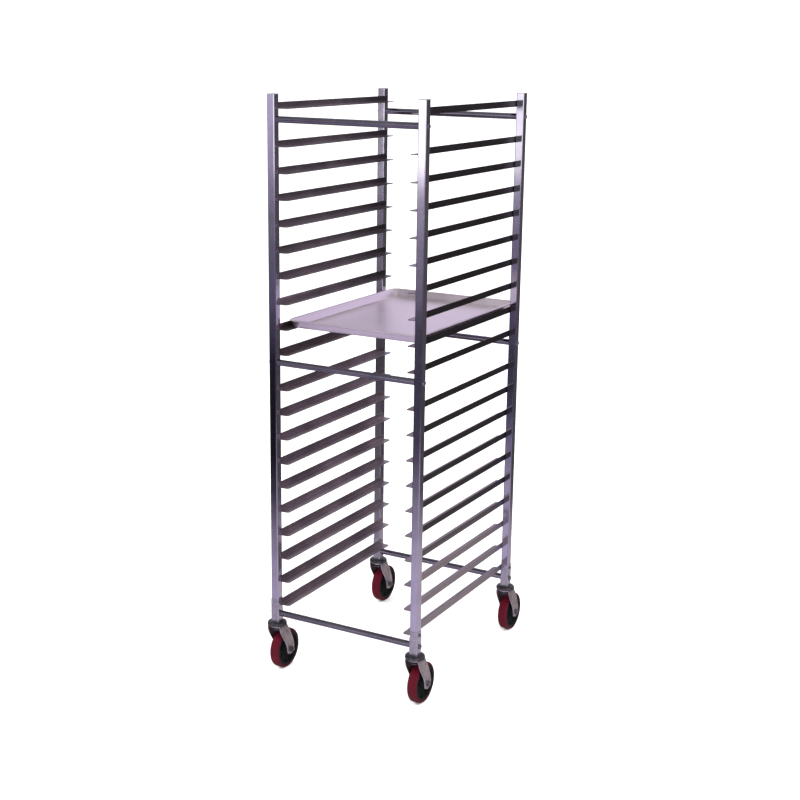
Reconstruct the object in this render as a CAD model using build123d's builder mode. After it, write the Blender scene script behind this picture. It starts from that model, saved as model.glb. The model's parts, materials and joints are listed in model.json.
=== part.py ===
from build123d import *
import math
import os

# End-loading aluminium sheet pan rack on four swivel casters, with one sheet pan on a ledge.
# Millimetres. +Z is up, -Y is the loading front and +X is the right-hand side seen from there.
# The origin is on the floor, under the middle of the box that the whole rack fills.

# ---- driving dimensions: frame -------------------------------------------------------------
rack_width = 514.35  # over the outer faces of the left and right posts
rack_depth = 660.4  # over the front and rear faces of the posts
rack_height = 1778.0  # floor to the top of the caps
post_size = 25.4  # square tube
post_wall = 1.65
post_corner = 3.0
cap_thickness = 2.0
cap_overhang = 0.9
cap_plug_depth = 14.0
cap_round = 1.0
foot_wall = 1.6  # steel foot that wraps the lower end of a post
foot_floor = 3.0
foot_height = 75.0
foot_bore_clearance = 0.2

# ---- ledges --------------------------------------------------------------------------------
ledge_pitch = 76.2
ledge_gap = 107.95  # pitch across a cross brace
lowest_ledge = 224.0  # underside of the lowest ledge
ledges_below_middle = 10
ledges_above_middle = 9
ledge_web = 19.05
ledge_flange = 31.75
ledge_gauge = 2.0
ledge_length = 635.0
ledge_tip_radius = 9.0
ledge_web_radius = 5.0
ledge_bend = 1.2

# ---- cross braces and their bolts ----------------------------------------------------------
brace_diameter = 19.05
brace_wall = 1.65
bottom_brace = 196.0  # heights of the brace centres
middle_brace = 996.0
top_brace = 1706.0
insert_length = 24.0
insert_clearance = 0.04
bolt_diameter = 8.0
bolt_hole = 8.6
bolt_reach = 18.0  # how far a bolt enters its insert
bolt_head_diameter = 14.5
bolt_head_height = 4.5
socket_size = 5.0
socket_depth = 2.6
head_rounding = 0.55  # part of a head's height that is rounded off
shank_chamfer = 0.1  # part of a shank's diameter taken off at its tip
stem_screw_height = 232.0
stem_screw_diameter = 6.0
stem_screw_head_diameter = 11.0
stem_screw_head_height = 3.5
stem_screw_length = 14.0

# ---- casters -------------------------------------------------------------------------------
wheel_diameter = 127.0
tread_width = 31.75
tread_depth = 8.5
tread_round = 5.0
rim_width = 30.0
rim_depth = 7.0
web_thickness = 9.0
web_flare_at_hub = 1.0
web_flare_at_rim = 2.0
hub_diameter = 35.0
hub_width = 40.4
hub_chamfer = 1.5
caster_trail = 40.0
caster_height = 169.0  # floor to the seat of the top race
stem_diameter = 21.8
stem_height = 75.0
stem_chamfer = 1.5
top_race_diameter = 60.0
top_race_thickness = 6.4
top_race_chamfer = 2.5
skirt_drop = 4.6
skirt_wall = 1.6
kingpin_diameter = 16.0
kingpin_clearance = 0.05
lower_race_diameter = 36.0
lower_race_thickness = 4.2
rivet_diameter = 12.0
rivet_height = 2.5
rivet_draft = 1.0
ball_diameter = 5.2
ball_count = 14
upper_ball_circle = 40.0
lower_ball_circle = 25.0
cage_width = 3.0
cage_thickness = 1.0
ball_gap = 0.3  # air between the balls and the turning crown
crown_thickness = 6.0
crown_depth = 48.0
crown_corner = 14.0
fork_gap = 41.0  # between the inner faces of the two legs
fork_leg = 4.0
fork_boss = 17.0  # radius around the axle
leg_inset = 5.0  # the legs start this far inside the ends of the crown
leg_rear_swing = 8.0  # pulls that shape the two curved edges of a leg
leg_rear_drop = 28.0
leg_front_swing = 1.0
leg_front_drop = 34.0
leg_rise = 32.0
leg_tuck = 2.0
axle_diameter = 9.5
axle_hole = 10.0
bush_diameter = 16.0
bush_bore = 9.8
wheel_bore_clearance = 0.06
axle_head_size = 15.0  # across flats
axle_head_height = 6.0
axle_nut_height = 8.0
axle_thread_proud = 2.5

# ---- sheet pan -----------------------------------------------------------------------------
pan_level = 12  # counted from the lowest ledge
pan_width = 454.0
pan_length = 657.0
pan_height = 25.4
pan_floor_width = 425.0
pan_floor_length = 628.0
pan_wall_angle = 22.0
pan_gauge = 1.2
pan_corner = 14.0
pan_rim_height = 5.0
pan_rim_width = 5.6
pan_rim_round = 2.2
pan_setback = 46.0  # front of the pan behind the front faces of the posts

# ---- places worked out from the sizes above ------------------------------------------------
wheel_radius = wheel_diameter / 2
rack_y = (top_race_diameter / 2 - caster_trail - wheel_radius) / 2  # the wheels trail to the rear
post_x = (rack_width - post_size) / 2
post_y = (rack_depth - post_size) / 2
post_bottom = caster_height + foot_floor
post_top = rack_height - cap_thickness
inner_face = rack_width / 2 - post_size
post_bore = post_size - 2 * post_wall
brace_heights = (bottom_brace, middle_brace, top_brace)
corners = {"front_left": (-1, -1), "front_right": (1, -1), "rear_left": (-1, 1), "rear_right": (1, 1)}

upper_run = lowest_ledge + (ledges_below_middle - 1) * ledge_pitch + ledge_gap
top_ledge = upper_run + (ledges_above_middle - 1) * ledge_pitch + ledge_gap
ledge_heights = [lowest_ledge + i * ledge_pitch for i in range(ledges_below_middle)]
ledge_heights += [upper_run + i * ledge_pitch for i in range(ledges_above_middle)]
ledge_heights += [top_ledge]

top_race_bottom = caster_height - top_race_thickness
crown_top = top_race_bottom - ball_diameter - ball_gap
crown_bottom = crown_top - crown_thickness
lower_race_top = crown_bottom - ball_diameter - ball_gap


def corner_xy(side, end):
    """Centre of the post on one side (-1 left, 1 right) and at one end (-1 front, 1 rear)."""
    return side * post_x, rack_y + end * post_y


def upright_plane(x, y):
    """Vertical plane through (x, y): its first axis is +X and its second is +Z."""
    return Plane(origin=(x, y, 0), x_dir=(1, 0, 0), z_dir=(0, -1, 0))


def side_plane(x, y):
    """Vertical plane through (x, y) that faces +X: its first axis is +Y and its second is +Z."""
    return Plane(origin=(x, y, 0), x_dir=(0, 1, 0), z_dir=(1, 0, 0))


def save(piece, name):
    piece.part.label = name
    export_step(piece.part, f"parts/{name}.step")


# ---- posts, caps and feet ------------------------------------------------------------------
def make_post(side, end):
    """Square tube, drilled across for the brace bolts and on its outer wall for the stem screw."""
    x, y = corner_xy(side, end)
    with BuildPart() as post:
        with BuildSketch(Plane.XY.offset(post_bottom)):
            with Locations((x, y)):
                RectangleRounded(post_size, post_size, post_corner)
                RectangleRounded(post_bore, post_bore, post_corner - post_wall, mode=Mode.SUBTRACT)
        extrude(amount=post_top - post_bottom)
        with Locations(*[(x, y, z) for z in brace_heights]):
            Cylinder(bolt_hole / 2, 2 * post_size, rotation=(0, 90, 0), mode=Mode.SUBTRACT)
        with Locations((x + side * post_size / 2, y, stem_screw_height)):
            Cylinder(stem_screw_diameter / 2, post_size, rotation=(0, 90, 0), mode=Mode.SUBTRACT)
    return post


def make_post_caps():
    """Moulded caps with a thin overhanging plate and a plug that fills the top of each tube."""
    cap_size = post_size + 2 * cap_overhang
    with BuildPart() as post_caps:
        with BuildSketch(Plane.XY.offset(post_top)):
            with Locations(*[corner_xy(side, end) for side, end in corners.values()]):
                RectangleRounded(cap_size, cap_size, post_corner)
        extrude(amount=cap_thickness)
        fillet(post_caps.faces().sort_by(Axis.Z)[-4:].edges(), cap_round)
        with BuildSketch(Plane.XY.offset(post_top)):
            with Locations(*[corner_xy(side, end) for side, end in corners.values()]):
                RectangleRounded(post_bore, post_bore, post_corner - post_wall)
        extrude(amount=-cap_plug_depth)
    return post_caps


def make_post_feet():
    """Cups that wrap the post ends; the inner wall stops below the lowest ledge."""
    foot_size = post_size + 2 * foot_wall
    notch_bottom = lowest_ledge - foot_wall
    foot_top = caster_height + foot_height
    with BuildPart() as post_feet:
        for side, end in corners.values():
            x, y = corner_xy(side, end)
            with BuildSketch(Plane.XY.offset(caster_height)):
                with Locations((x, y)):
                    RectangleRounded(foot_size, foot_size, post_corner + foot_wall)
            extrude(amount=foot_height)
            with BuildSketch(Plane.XY.offset(post_bottom)):
                with Locations((x, y)):
                    RectangleRounded(post_size, post_size, post_corner)
            extrude(amount=foot_height, mode=Mode.SUBTRACT)
            with Locations((x, y, caster_height)):
                Cylinder(stem_diameter / 2 + foot_bore_clearance, 3 * foot_floor, mode=Mode.SUBTRACT)
            with Locations((x, y, bottom_brace)):
                Cylinder(bolt_hole / 2, 2 * foot_size, rotation=(0, 90, 0), mode=Mode.SUBTRACT)
            with Locations((x + side * foot_size / 2, y, stem_screw_height)):
                Cylinder(stem_screw_diameter / 2, post_size, rotation=(0, 90, 0), mode=Mode.SUBTRACT)
            notch = (x - side * foot_size / 2, y, (notch_bottom + foot_top) / 2)
            with Locations(notch):
                Box(4 * foot_wall, 2 * foot_size, foot_top - notch_bottom, mode=Mode.SUBTRACT)
    return post_feet


# ---- ledges --------------------------------------------------------------------------------
def make_ledges(underside):
    """One level: a left and a right angle, each with its web on the posts and its flange inward."""
    ledge_rear = rack_y + ledge_length / 2
    web_inner = ledge_gauge - inner_face
    flange_edge = ledge_flange - inner_face
    flange_top = underside + ledge_gauge
    web_top = underside + ledge_web
    with BuildPart() as ledges:
        with BuildSketch(Plane.XZ.offset(-ledge_rear)):
            with BuildLine():
                Polyline(
                    (-inner_face, underside),
                    (flange_edge, underside),
                    (flange_edge, flange_top),
                    (web_inner, flange_top),
                    (web_inner, web_top),
                    (-inner_face, web_top),
                    close=True,
                )
            make_face()
        extrude(amount=ledge_length)
        fillet(ledges.edges().filter_by(Axis.Z).sort_by(Axis.X)[-2:], ledge_tip_radius)
        fillet(ledges.edges().filter_by(Axis.X).sort_by(Axis.Z)[-2:], ledge_web_radius)
        inner_bend = ledges.edges().filter_by(Axis.Y).sort_by_distance((web_inner, rack_y, flange_top))[0]
        fillet(inner_bend, ledge_bend)
        mirror(about=Plane.YZ)
    return ledges


# ---- cross braces, inserts and bolts -------------------------------------------------------
def brace_end(height):
    """Half the length of the brace at one height; the lowest braces butt against the feet."""
    return inner_face - foot_wall if height == bottom_brace else inner_face


def make_brace(end, height):
    """Round tube between a left and a right post."""
    half_length = brace_end(height)
    with BuildPart() as brace:
        with BuildSketch(side_plane(-half_length, rack_y + end * post_y)):
            with Locations((0, height)):
                Circle(brace_diameter / 2)
                Circle(brace_diameter / 2 - brace_wall, mode=Mode.SUBTRACT)
        extrude(amount=2 * half_length)
    return brace


def make_brace_inserts():
    """Threaded plugs pressed into both ends of every brace."""
    radius = brace_diameter / 2 - brace_wall - insert_clearance
    with BuildPart() as brace_inserts:
        for side, end in corners.values():
            for height in brace_heights:
                outer_end = brace_end(height)
                y = rack_y + end * post_y
                with BuildSketch(side_plane(side * outer_end, y)):
                    with Locations((0, height)):
                        Circle(radius)
                        Circle(bolt_diameter / 2 + insert_clearance, mode=Mode.SUBTRACT)
                extrude(amount=-side * insert_length)
    return brace_inserts


def make_screw(diameter, length, head_diameter, head_height):
    """Button-head screw along +X: the underside of its head is at the origin."""
    with BuildPart() as screw:
        with BuildSketch(Plane.YZ):
            Circle(head_diameter / 2)
        extrude(amount=-head_height)
        fillet(screw.faces().sort_by(Axis.X)[0].edges(), head_height * head_rounding)
        with BuildSketch(Plane.YZ.offset(-head_height)):
            RegularPolygon(socket_size / 2, 6)
        extrude(amount=socket_depth, mode=Mode.SUBTRACT)
        with BuildSketch(Plane.YZ):
            Circle(diameter / 2)
        extrude(amount=length)
        chamfer(screw.faces().sort_by(Axis.X)[-1].edges(), diameter * shank_chamfer)
    return screw


def facing_in(side):
    """Turn about Z that points a screw made along +X from its own side into the rack."""
    return 0 if side < 0 else 180


def make_brace_bolts():
    """Bolts across the posts into the brace inserts, three to a post."""
    with BuildPart() as brace_bolts:
        for side, end in corners.values():
            for height in brace_heights:
                seat = rack_width / 2 + (foot_wall if height == bottom_brace else 0)
                shank = seat - brace_end(height) + bolt_reach
                bolt = make_screw(bolt_diameter, shank, bolt_head_diameter, bolt_head_height)
                y = rack_y + end * post_y
                with Locations(Location((side * seat, y, height), (0, 0, facing_in(side)))):
                    add(bolt.part)
    return brace_bolts


def make_stem_screws():
    """Screws through the outer wall of each foot and post into the caster stem."""
    seat = rack_width / 2 + foot_wall
    screw = make_screw(
        stem_screw_diameter - 2 * insert_clearance,
        stem_screw_length,
        stem_screw_head_diameter,
        stem_screw_head_height,
    )
    with BuildPart() as stem_screws:
        for side, end in corners.values():
            y = rack_y + end * post_y
            with Locations(Location((side * seat, y, stem_screw_height), (0, 0, facing_in(side)))):
                add(screw.part)
    return stem_screws


# ---- casters -------------------------------------------------------------------------------
def make_caster_stem(side, end):
    """Stem, dished top race, kingpin and lower race, turned as one piece and cross-drilled."""
    x, y = corner_xy(side, end)
    race = top_race_diameter / 2
    skirt_bottom = top_race_bottom - skirt_drop
    lower_race_bottom = lower_race_top - lower_race_thickness
    with BuildPart() as stem:
        with BuildSketch(upright_plane(x, y)):
            with BuildLine():
                Polyline(
                    (0, caster_height + stem_height),
                    (stem_diameter / 2 - stem_chamfer, caster_height + stem_height),
                    (stem_diameter / 2, caster_height + stem_height - stem_chamfer),
                    (stem_diameter / 2, caster_height),
                    (race - top_race_chamfer, caster_height),
                    (race, caster_height - top_race_chamfer),
                    (race, skirt_bottom),
                    (race - skirt_wall, skirt_bottom),
                    (race - skirt_wall, top_race_bottom),
                    (kingpin_diameter / 2, top_race_bottom),
                    (kingpin_diameter / 2, lower_race_top),
                    (lower_race_diameter / 2, lower_race_top),
                    (lower_race_diameter / 2, lower_race_bottom),
                    (rivet_diameter / 2, lower_race_bottom),
                    (rivet_diameter / 2 - rivet_draft, lower_race_bottom - rivet_height),
                    (0, lower_race_bottom - rivet_height),
                    close=True,
                )
            make_face()
        revolve(axis=Axis((x, y, 0), (0, 0, 1)))
        with Locations((x, y, bottom_brace)):
            Cylinder(bolt_hole / 2, 2 * stem_diameter, rotation=(0, 90, 0), mode=Mode.SUBTRACT)
        with Locations((x + side * stem_diameter / 2, y, stem_screw_height)):
            Cylinder(stem_screw_diameter / 2, stem_diameter, rotation=(0, 90, 0), mode=Mode.SUBTRACT)
    return stem


def make_swivel_bearings():
    """Two caged rings of balls in each caster, above and below the fork crown."""
    ball = ball_diameter / 2
    rings = (
        (upper_ball_circle / 2, top_race_bottom - ball),
        (lower_ball_circle / 2, lower_race_top + ball),
    )
    with BuildPart() as swivel_bearings:
        for side, end in corners.values():
            x, y = corner_xy(side, end)
            for circle, height in rings:
                with BuildSketch(Plane.XY.offset(height - cage_thickness / 2)):
                    with Locations((x, y)):
                        Circle(circle + cage_width / 2)
                        Circle(circle - cage_width / 2, mode=Mode.SUBTRACT)
                extrude(amount=cage_thickness)
                with Locations((x, y, height)):
                    with PolarLocations(circle, ball_count):
                        Sphere(ball)
    return swivel_bearings


def make_fork(side, end):
    """Pressed fork: a flat crown bored for the kingpin and two legs that sweep back to the axle."""
    x, y = corner_xy(side, end)
    crown_width = fork_gap + 2 * fork_leg
    half_crown = crown_depth / 2
    with BuildPart() as fork:
        with BuildSketch(Plane.XY.offset(crown_bottom)):
            with Locations((x, y)):
                RectangleRounded(crown_width, crown_depth, crown_corner)
        extrude(amount=crown_thickness)
        for leg_side in (-1, 1):
            with BuildSketch(side_plane(x + leg_side * fork_gap / 2, y)):
                with BuildLine():
                    Line((leg_inset - half_crown, crown_top), (half_crown - leg_inset, crown_top))
                    Bezier(
                        (half_crown - leg_inset, crown_top),
                        (half_crown + leg_rear_swing, crown_top - leg_rear_drop),
                        (caster_trail + fork_boss, wheel_radius + leg_rise),
                        (caster_trail + fork_boss, wheel_radius),
                    )
                    ThreePointArc(
                        (caster_trail + fork_boss, wheel_radius),
                        (caster_trail, wheel_radius - fork_boss),
                        (caster_trail - fork_boss, wheel_radius),
                    )
                    Bezier(
                        (caster_trail - fork_boss, wheel_radius),
                        (caster_trail - fork_boss - leg_tuck, wheel_radius + leg_rise),
                        (leg_inset + leg_front_swing - half_crown, crown_top - leg_front_drop),
                        (leg_inset - half_crown, crown_top),
                    )
                make_face()
            extrude(amount=leg_side * fork_leg)
        with Locations((x, y + caster_trail, wheel_radius)):
            Cylinder(axle_hole / 2, 2 * crown_width, rotation=(0, 90, 0), mode=Mode.SUBTRACT)
        with Locations((x, y, crown_top)):
            Cylinder(kingpin_diameter / 2 + kingpin_clearance, 4 * crown_thickness, mode=Mode.SUBTRACT)
    return fork


def make_axle(side, end):
    """Axle bolt with its head outboard, lock nut inboard and the spanner bush between the legs."""
    x, y = corner_xy(side, end)
    axle_y = y + caster_trail
    leg_outer = fork_gap / 2 + fork_leg
    inboard_end = leg_outer + axle_nut_height + axle_thread_proud
    with BuildPart() as axle:
        with BuildSketch(side_plane(x + side * leg_outer, axle_y)):
            with Locations((0, wheel_radius)):
                RegularPolygon(axle_head_size / 2, 6, major_radius=False)
        extrude(amount=side * axle_head_height)
        with BuildSketch(side_plane(x + side * leg_outer, axle_y)):
            with Locations((0, wheel_radius)):
                Circle(axle_diameter / 2)
        extrude(amount=-side * (leg_outer + inboard_end))
        with BuildSketch(side_plane(x - side * leg_outer, axle_y)):
            with Locations((0, wheel_radius)):
                RegularPolygon(axle_head_size / 2, 6, major_radius=False)
                Circle(axle_hole / 2, mode=Mode.SUBTRACT)
        extrude(amount=-side * axle_nut_height)
        with BuildSketch(side_plane(x - fork_gap / 2, axle_y)):
            with Locations((0, wheel_radius)):
                Circle(bush_diameter / 2)
                Circle(bush_bore / 2, mode=Mode.SUBTRACT)
        extrude(amount=fork_gap)
    return axle


def wheel_plane(side, end):
    """Plane through a wheel's centre: its first axis is the axle and its second is the radius."""
    x, y = corner_xy(side, end)
    return Plane(origin=(x, y + caster_trail, wheel_radius), x_dir=(1, 0, 0), z_dir=(0, -1, 0))


def make_wheel_core(side, end):
    """Moulded core: a bored hub, a thin web and the rim that carries the tread."""
    plane = wheel_plane(side, end)
    rim_outer = wheel_radius - tread_depth
    rim_inner = rim_outer - rim_depth
    bore = bush_diameter / 2 + wheel_bore_clearance
    with BuildPart() as core:
        with BuildSketch(plane):
            with BuildLine():
                Polyline(
                    (-hub_width / 2, bore),
                    (hub_width / 2, bore),
                    (hub_width / 2, hub_diameter / 2 - hub_chamfer),
                    (hub_width / 2 - hub_chamfer, hub_diameter / 2),
                    (web_thickness / 2, hub_diameter / 2 + web_flare_at_hub),
                    (web_thickness / 2, rim_inner - web_flare_at_rim),
                    (rim_width / 2, rim_inner),
                    (rim_width / 2, rim_outer),
                    (-rim_width / 2, rim_outer),
                    (-rim_width / 2, rim_inner),
                    (-web_thickness / 2, rim_inner - web_flare_at_rim),
                    (-web_thickness / 2, hub_diameter / 2 + web_flare_at_hub),
                    (hub_chamfer - hub_width / 2, hub_diameter / 2),
                    (-hub_width / 2, hub_diameter / 2 - hub_chamfer),
                    close=True,
                )
            make_face()
        revolve(axis=Axis(plane.origin, (1, 0, 0)))
    return core


def make_wheel_tread(side, end):
    """Polyurethane tread bonded round the core, with rounded shoulders."""
    plane = wheel_plane(side, end)
    rim_outer = wheel_radius - tread_depth
    with BuildPart() as tread:
        with BuildSketch(plane) as section:
            with Locations((0, (rim_outer + wheel_radius) / 2)):
                Rectangle(tread_width, tread_depth)
            fillet(section.vertices().sort_by(Axis.Y)[-2:], tread_round)
        revolve(axis=Axis(plane.origin, (1, 0, 0)))
    return tread


# ---- sheet pan -----------------------------------------------------------------------------
def make_sheet_pan():
    """Shallow pressed tray with flared walls and a rolled rim, resting on its two ledges."""
    seat = ledge_heights[pan_level - 1] + ledge_gauge
    centre = (0, rack_y - rack_depth / 2 + pan_setback + pan_length / 2)
    rim_bottom = seat + pan_height - pan_rim_height
    wall_slope = math.radians(pan_wall_angle)
    floor_inset = 2 * pan_gauge / math.cos(wall_slope) - 2 * pan_gauge * math.tan(wall_slope)
    with BuildPart() as sheet_pan:
        with BuildSketch(Plane.XY.offset(seat)):
            with Locations(centre):
                RectangleRounded(pan_floor_width, pan_floor_length, pan_corner)
        extrude(amount=pan_height - pan_rim_height / 2, taper=-pan_wall_angle)
        with BuildSketch(Plane.XY.offset(rim_bottom)):
            with Locations(centre):
                RectangleRounded(pan_width, pan_length, pan_corner + 2 * pan_rim_width)
        extrude(amount=pan_rim_height)
        fillet(sheet_pan.faces().sort_by(Axis.Z)[-1].edges(), pan_rim_round)
        with BuildSketch(Plane.XY.offset(seat + pan_gauge)):
            with Locations(centre):
                RectangleRounded(pan_floor_width - floor_inset, pan_floor_length - floor_inset, pan_corner)
        extrude(amount=pan_height, taper=-pan_wall_angle, mode=Mode.SUBTRACT)
    return sheet_pan


# ---- build every piece and write it --------------------------------------------------------
os.makedirs("parts", exist_ok=True)

save(make_post_caps(), "post_caps")
save(make_post_feet(), "post_feet")
save(make_brace_inserts(), "brace_inserts")
save(make_brace_bolts(), "brace_bolts")
save(make_stem_screws(), "stem_screws")
save(make_swivel_bearings(), "swivel_bearings")
save(make_sheet_pan(), "sheet_pan")

for end_name, end in (("front", -1), ("rear", 1)):
    for height_name, height in zip(("bottom", "middle", "top"), brace_heights):
        save(make_brace(end, height), f"{end_name}_{height_name}_brace")

for level, underside in enumerate(ledge_heights, start=1):
    save(make_ledges(underside), f"ledges_level_{level:02d}")

for corner, (side, end) in corners.items():
    save(make_post(side, end), f"post_{corner}")
    save(make_caster_stem(side, end), f"caster_stem_{corner}")
    save(make_fork(side, end), f"fork_{corner}")
    save(make_axle(side, end), f"axle_{corner}")
    save(make_wheel_core(side, end), f"wheel_core_{corner}")
    save(make_wheel_tread(side, end), f"wheel_tread_{corner}")
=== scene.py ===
import json
import math
import random

import bmesh
import bpy
from mathutils import Matrix, Vector


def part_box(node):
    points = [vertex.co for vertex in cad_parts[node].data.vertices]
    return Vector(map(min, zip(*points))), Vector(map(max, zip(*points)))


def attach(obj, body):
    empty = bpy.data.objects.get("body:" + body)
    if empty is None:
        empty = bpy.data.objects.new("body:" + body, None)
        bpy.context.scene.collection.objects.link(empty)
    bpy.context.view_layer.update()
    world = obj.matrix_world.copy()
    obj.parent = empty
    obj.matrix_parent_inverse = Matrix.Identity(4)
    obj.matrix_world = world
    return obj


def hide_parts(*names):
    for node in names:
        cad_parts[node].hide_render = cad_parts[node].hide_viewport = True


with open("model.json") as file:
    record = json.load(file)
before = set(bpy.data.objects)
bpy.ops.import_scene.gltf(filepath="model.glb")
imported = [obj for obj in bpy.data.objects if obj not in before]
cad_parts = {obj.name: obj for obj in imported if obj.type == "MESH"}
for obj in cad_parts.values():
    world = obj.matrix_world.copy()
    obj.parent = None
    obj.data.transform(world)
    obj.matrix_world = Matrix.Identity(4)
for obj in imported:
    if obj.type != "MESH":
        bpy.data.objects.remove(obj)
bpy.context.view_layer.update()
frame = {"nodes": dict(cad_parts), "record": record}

# Metres, in the frame of the CAD model: +Z up, -Y the loading front, the origin on the floor.

# ---- camera: the photograph's viewpoint, as near as an unshifted lens comes ----------------
CAMERA_PLACE = (2.0496, -3.758, 1.9368)
CAMERA_YAW = math.radians(28.755)
CAMERA_PITCH = math.radians(-14.438)
CAMERA_ROLL = math.radians(0.798)
LENS = 63.39  # focal length in millimetres, as the sensor's width
SENSOR = 36.0

# ---- studio and rack -----------------------------------------------------------------------
FLOOR_SIZE = 80.0
FLOOR_LIGHT = 1.7  # how brightly the plain surroundings light the floor
FLOOR_GREYS = (0.90, 0.93)
FLOOR_ROUGHNESS = (0.8, 0.9)
LAMPS = (  # name, place and watts
    ("key", (2.5, -3.5, 4.5), 260),
    ("fill", (-3.5, -2.0, 3.0), 120),
)
LAMP_AIM = (0, 0, 0.9)
LAMP_SIZE = 2.5
WHITE = (1.0, 0.98, 1.0)
LILAC = (1.0, 0.90, 1.18)
NAVY = (0.9, 0.8, 1.3)
BROWN = (1.0, 0.9, 0.95)
# What the metal mirrors towards -Y, as (elevation in degrees, brightness, tint): first the panel
# furthest towards -X.
FRONT_FIRST = (
    (-30, 0.62, LILAC), (-21.5, 0.56, LILAC), (-20, 0.34, LILAC), (-18.4, 0.02, NAVY),
    (-15, 0.0, NAVY), (-12.5, 0.02, NAVY), (-10, 0.17, NAVY), (-7, 0.24, LILAC),
    (-5, 0.48, LILAC), (-3, 0.80, LILAC), (5, 0.75, WHITE), (30, 0.40, WHITE),
)
# Then the next panels towards +X. Each has the range over which it takes over from the one
# before, in the X of the level direction.
FRONT_PANELS = (
    (-0.535, -0.515, (
        (-30, 0.60, BROWN), (-21.5, 0.36, BROWN), (-18, 0.22, BROWN), (-15, 0.16, BROWN),
        (-13, 0.08, BROWN), (-10, 0.18, BROWN), (-7, 0.20, BROWN), (-5, 0.12, BROWN),
        (-3, 0.08, BROWN), (5, 0.30, WHITE), (30, 0.40, WHITE),
    )),
    (-0.487, -0.480, (
        (-30, 0.76, LILAC), (-21.5, 0.76, LILAC), (-19.5, 0.48, LILAC), (-17, 0.06, NAVY),
        (-14, 0.08, NAVY), (-11.7, 0.03, NAVY), (-10, 0.30, LILAC), (-7, 0.40, LILAC),
        (-5.9, 0.50, LILAC), (-5.0, 3.20, WHITE), (5, 1.60, WHITE), (30, 0.45, WHITE),
    )),
    (-0.445, -0.430, (
        (-30, 0.70, LILAC), (-21.5, 0.66, LILAC), (-18, 0.56, LILAC), (-16, 0.24, NAVY),
        (-14.5, 0.06, NAVY), (-11.7, 0.07, NAVY), (-10, 0.22, NAVY), (-7, 0.28, LILAC),
        (-5.6, 0.42, LILAC), (-4.7, 1.80, WHITE), (5, 1.50, WHITE), (30, 0.45, WHITE),
    )),
)
# And what it mirrors towards +Y.
REAR_ROOM = (
    (-30, 0.70, BROWN), (-21, 0.62, BROWN), (-19.4, 0.40, BROWN), (-18.2, 0.09, BROWN),
    (-11.5, 0.11, BROWN), (-8.5, 0.12, BROWN), (-6, 0.12, BROWN), (-2, 0.10, BROWN),
    (4, 0.30, LILAC), (8, 0.78, LILAC), (22, 0.72, LILAC), (30, 0.50, WHITE),
)
ROOM_SEAM = 0.2  # half the width of the change from front to rear, in the direction's Y
SINE_LIMIT = 0.5  # the sine of 30 degrees, where the panels' stops end
CORNERS = ("front_left", "front_right", "rear_left", "rear_right")
LEVELS = 20


# ---- node helpers --------------------------------------------------------------------------
class Graph:
    """A material's node tree, built with short calls."""

    def __init__(self, name):
        self.material = bpy.data.materials.new(name)
        self.material.use_nodes = True
        self.tree = self.material.node_tree
        self.shader = self.tree.nodes["Principled BSDF"]
        self.where = self.tree.nodes.new("ShaderNodeTexCoord").outputs["Object"]

    def link(self, source, target):
        self.tree.links.new(source, target)

    def scaled(self, scale):
        """Object coordinates stretched by a scale along each axis."""
        node = self.tree.nodes.new("ShaderNodeMapping")
        node.inputs["Scale"].default_value = scale
        self.link(self.where, node.inputs["Vector"])
        return node.outputs["Vector"]

    def noise(self, scale, detail=3.0, roughness=0.55, where=None):
        node = self.tree.nodes.new("ShaderNodeTexNoise")
        node.inputs["Scale"].default_value = scale
        node.inputs["Detail"].default_value = detail
        node.inputs["Roughness"].default_value = roughness
        self.link(where or self.where, node.inputs["Vector"])
        return node.outputs["Fac"]

    def ramp(self, factor, stops):
        """Grey values or colours by position along a factor."""
        node = self.tree.nodes.new("ShaderNodeValToRGB")
        elements = node.color_ramp.elements
        for i, (place, value) in enumerate(stops):
            element = elements[i] if i < 2 else elements.new(place)
            element.position = place
            colour = value if isinstance(value, tuple) else (value,) * 3
            element.color = (*colour, 1.0)
        self.link(factor, node.inputs["Fac"])
        return node.outputs["Color"]

    def mix(self, factor, first, second):
        """Mixes two colours; each may be a socket or an (r, g, b)."""
        node = self.tree.nodes.new("ShaderNodeMix")
        node.data_type = "RGBA"
        sockets = (node.inputs["Factor"], node.inputs["A"], node.inputs["B"])
        for socket, value in zip(sockets, (factor, first, second)):
            if isinstance(value, float):
                socket.default_value = value
            elif isinstance(value, tuple):
                socket.default_value = (*value, 1.0)
            else:
                self.link(value, socket)
        return node.outputs["Result"]

    def maths(self, operation, first, second=0.0):
        node = self.tree.nodes.new("ShaderNodeMath")
        node.operation = operation
        for socket, value in zip(node.inputs, (first, second)):
            if isinstance(value, float):
                socket.default_value = value
            else:
                self.link(value, socket)
        return node.outputs["Value"]

    def bump(self, height, strength, distance, onto=None):
        node = self.tree.nodes.new("ShaderNodeBump")
        node.inputs["Strength"].default_value = strength
        node.inputs["Distance"].default_value = distance
        self.link(height, node.inputs["Height"])
        if onto is not None:
            self.link(onto, node.inputs["Normal"])
        return node.outputs["Normal"]

    def finish(self, colour=None, roughness=None, normal=None, metallic=0.0, specular=0.5):
        if colour is not None:
            self.link(colour, self.shader.inputs["Base Color"])
        if roughness is not None:
            self.link(roughness, self.shader.inputs["Roughness"])
        if normal is not None:
            self.link(normal, self.shader.inputs["Normal"])
        self.shader.inputs["Metallic"].default_value = metallic
        self.shader.inputs["Specular IOR Level"].default_value = specular
        return self.material


# ---- materials -----------------------------------------------------------------------------
LINES_ACROSS = 900.0  # noise scale of the drawing lines, across them and along them
LINES_ALONG = 6.0
GRIME_SHADE = 0.72
RUB_SHARE = 0.35
RUB_SHINE = 1.15
GREASE_SHADE = 0.45
GREASE_ROUGHNESS = 1.6
SCUFF_GAIN = 2.2
SCUFF_LIFT = 0.03
DUST_ROUGHNESS = 1.7


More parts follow.
